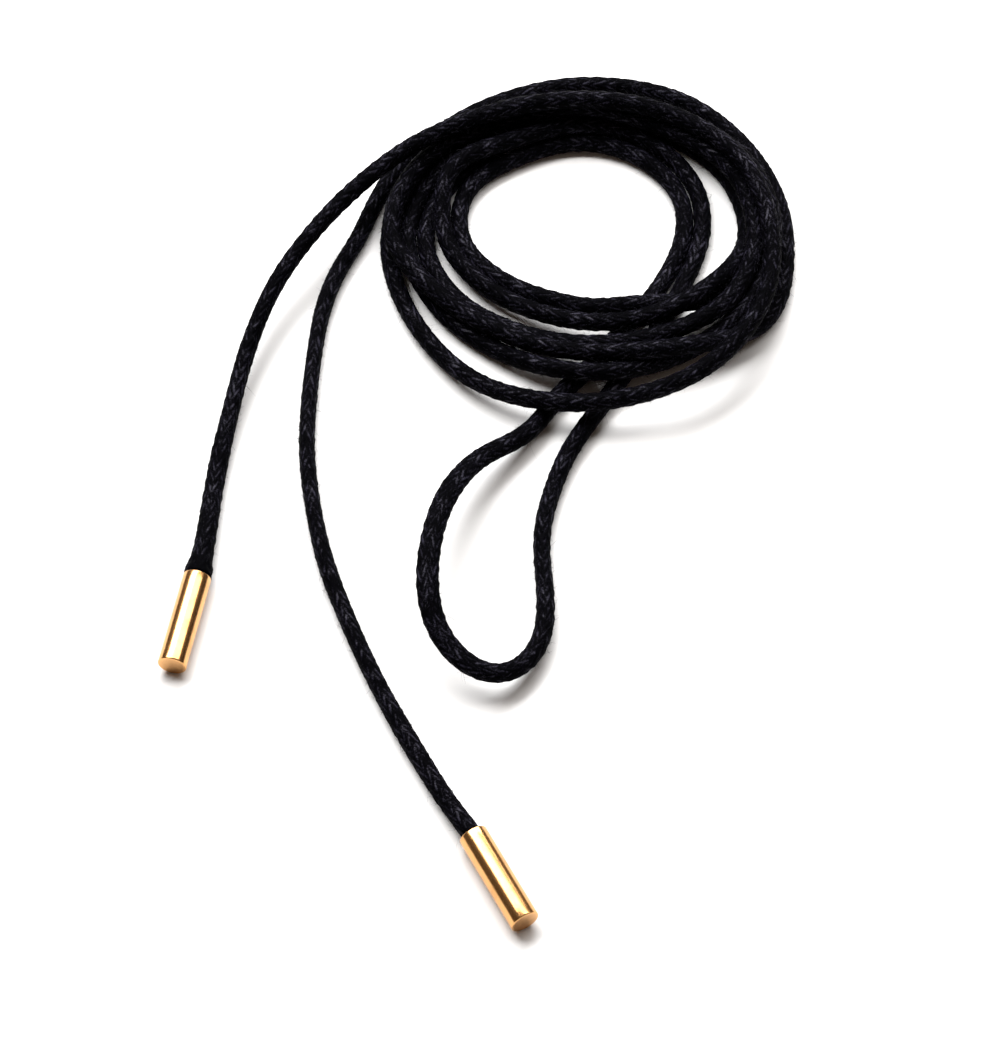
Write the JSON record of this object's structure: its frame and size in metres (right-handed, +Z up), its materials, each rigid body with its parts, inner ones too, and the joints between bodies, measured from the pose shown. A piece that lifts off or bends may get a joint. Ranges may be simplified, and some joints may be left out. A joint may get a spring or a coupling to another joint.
{
  "type": "cord necklace",
  "caption": "Black waxed cord necklace: a long cord folded in half and coiled, its fold left out as a loop, with plain gold cylindrical end caps.",
  "frame": {"origin": "on the surface it lies on, under the middle of its box", "axes": "+Z up from the surface; +Y from the end caps towards the coil, the longest way; +X to the right, seen from the end caps"},
  "size_m": [0.1026, 0.1645, 0.0106],
  "materials": {
    "waxed_cord": "braided cotton, black, waxed, dull sheen on the ridges",
    "gold": "polished gold plate on brass"
  },
  "bodies": {
    "root": {"cord_left_tail": "waxed_cord", "cord_coil_first_half": "waxed_cord", "cord_loop": "waxed_cord", "cord_coil_second_half": "waxed_cord", "cord_front_tail": "waxed_cord", "end_cap_left": "gold", "end_cap_front": "gold"}
  },
  "joints": []
}
